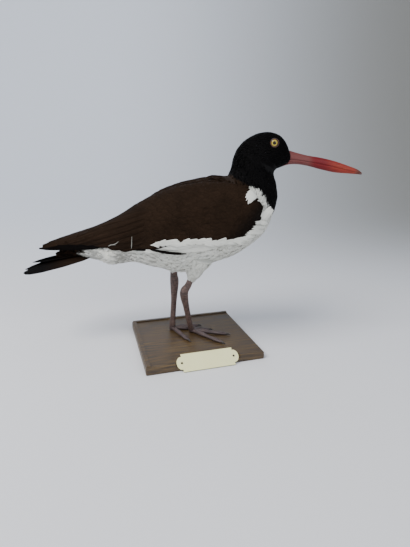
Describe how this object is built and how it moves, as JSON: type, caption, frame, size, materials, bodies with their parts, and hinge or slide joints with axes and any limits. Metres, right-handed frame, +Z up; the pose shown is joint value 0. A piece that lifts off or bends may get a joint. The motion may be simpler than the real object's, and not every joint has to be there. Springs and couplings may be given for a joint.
{
  "type": "oystercatcher",
  "caption": "Mounted wading bird in life size, standing with folded wings and a long blade bill on a square wooden base with a bare name plate.",
  "frame": {"origin": "middle of the underside of the wooden base, on the table", "axes": "+X the way the beak points, along the bird's length; +Y the bird's left side; +Z up. The base is turned 16.6 degrees about +Z under the bird."},
  "size_m": [0.4045, 0.1698, 0.2598],
  "materials": {
    "wood": "varnished dark walnut-brown board, worn satin",
    "brass": "pale engraved strip, satin",
    "white": "white plumage, matt",
    "black": "black hood plumage, faint sheen",
    "brown": "dark chocolate-brown plumage, matt",
    "blackBrown": "black-brown tail quills",
    "bill": null,
    "eye": "glass eye with yellow iris, opaque",
    "lid": "dried red-brown eye ring",
    "skin": "dried scaly leg skin, dark purplish brown",
    "claw": "dark horn"
  },
  "bodies": {
    "root": {"base_board": "wood", "name_plate": "brass", "plate_pin_right": "claw", "plate_pin_left": "claw", "torso": "white", "mantle": "brown", "neck": "black", "bill_upper": "bill", "bill_lower": "bill", "head": "black", "eye_right": "eye", "eye_left": "eye", "lid_right": "lid", "lid_left": "lid", "wing_right": "brown", "wing_left": "brown", "tail": "blackBrown", "thigh_right": "white", "leg_right": "skin", "foot_right": "skin", "thigh_left": "white", "leg_left": "skin", "foot_left": "skin", "claw_right_1": "claw", "claw_right_2": "claw", "claw_right_3": "claw", "claw_left_1": "claw", "claw_left_2": "claw", "claw_left_3": "claw"}
  },
  "joints": []
}
